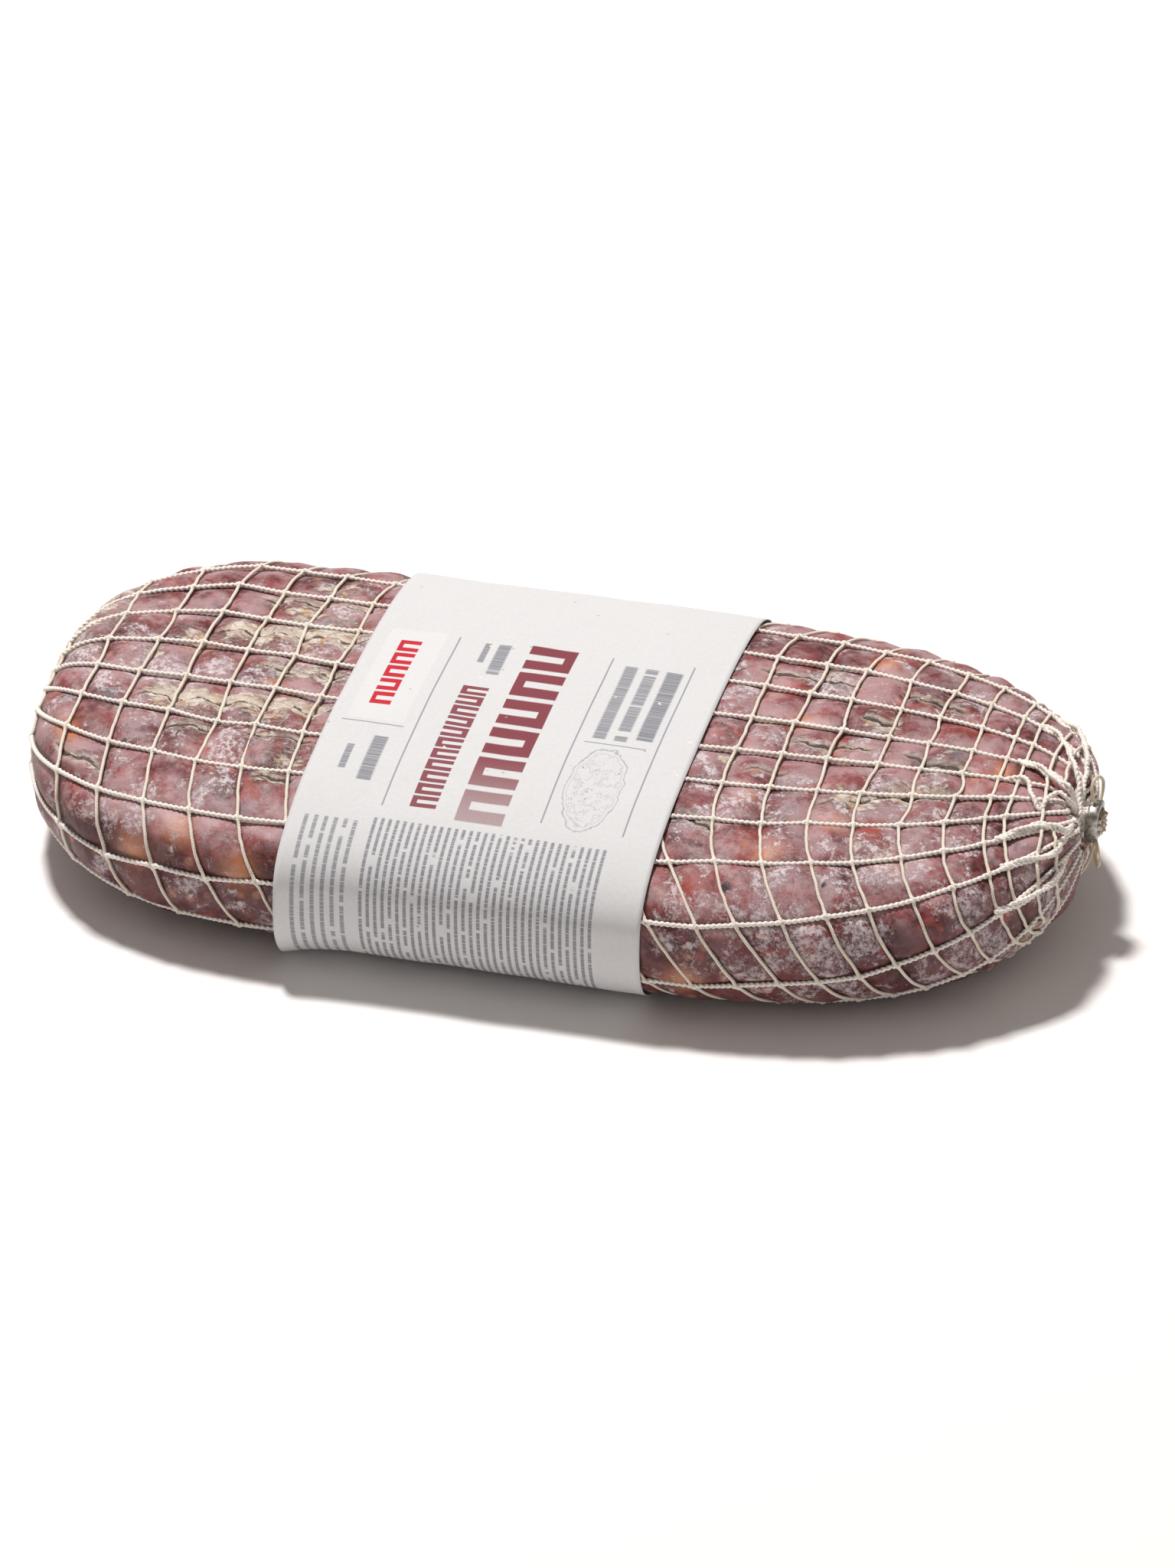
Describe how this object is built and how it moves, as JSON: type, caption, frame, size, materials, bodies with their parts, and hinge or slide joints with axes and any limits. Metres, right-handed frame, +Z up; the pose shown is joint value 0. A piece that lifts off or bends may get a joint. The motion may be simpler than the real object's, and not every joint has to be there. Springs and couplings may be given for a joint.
{
  "type": "pressed salami",
  "caption": "Flattened whole salami in its casing, held in a square-mesh knitted net clipped at both ends, with a wide paper band round its middle",
  "frame": {"origin": "centre of the footprint, on the surface the salami rests on", "axes": "+X along the salami towards the clipped nose with the loose loops, +Y across it, +Z up"},
  "size_m": [0.3346, 0.1782, 0.0571],
  "materials": {
    "salami": "dry casing over coarse red meat and fat, with a white mould bloom",
    "net_yarn": "unbleached knitted cotton and polyester yarn",
    "paper": "uncoated off-white paper with fine flecks, printed in grey and burgundy",
    "casing": "gathered dry natural casing",
    "clip_metal": "dull crimped wire"
  },
  "bodies": {
    "root": {"salami": "salami", "paper_band": "paper", "front_tail": "casing", "rear_tail": "casing", "front_clip": "clip_metal", "rear_clip": "clip_metal", "net_strand_01": "net_yarn", "net_strand_02": "net_yarn", "net_strand_03": "net_yarn", "net_strand_04": "net_yarn", "net_strand_05": "net_yarn", "net_strand_06": "net_yarn", "net_strand_07": "net_yarn", "net_strand_08": "net_yarn", "net_strand_09": "net_yarn", "net_strand_10": "net_yarn", "net_strand_11": "net_yarn", "net_strand_12": "net_yarn", "net_strand_13": "net_yarn", "net_strand_14": "net_yarn", "net_strand_15": "net_yarn", "net_strand_16": "net_yarn", "net_strand_17": "net_yarn", "net_strand_18": "net_yarn", "net_strand_19": "net_yarn", "net_strand_20": "net_yarn", "net_hoop_01": "net_yarn", "net_hoop_02": "net_yarn", "net_hoop_03": "net_yarn", "net_hoop_04": "net_yarn", "net_hoop_05": "net_yarn", "net_hoop_06": "net_yarn", "net_hoop_07": "net_yarn", "net_hoop_08": "net_yarn", "net_hoop_09": "net_yarn", "net_hoop_10": "net_yarn", "net_hoop_11": "net_yarn", "net_hoop_12": "net_yarn", "net_hoop_13": "net_yarn", "net_hoop_14": "net_yarn", "net_hoop_15": "net_yarn", "net_hoop_16": "net_yarn", "net_hoop_17": "net_yarn", "net_hoop_18": "net_yarn", "net_hoop_19": "net_yarn", "net_hoop_20": "net_yarn", "net_hoop_21": "net_yarn", "net_hoop_22": "net_yarn", "net_hoop_23": "net_yarn", "thread_loop_01": "net_yarn", "thread_loop_02": "net_yarn", "thread_loop_03": "net_yarn"}
  },
  "joints": []
}
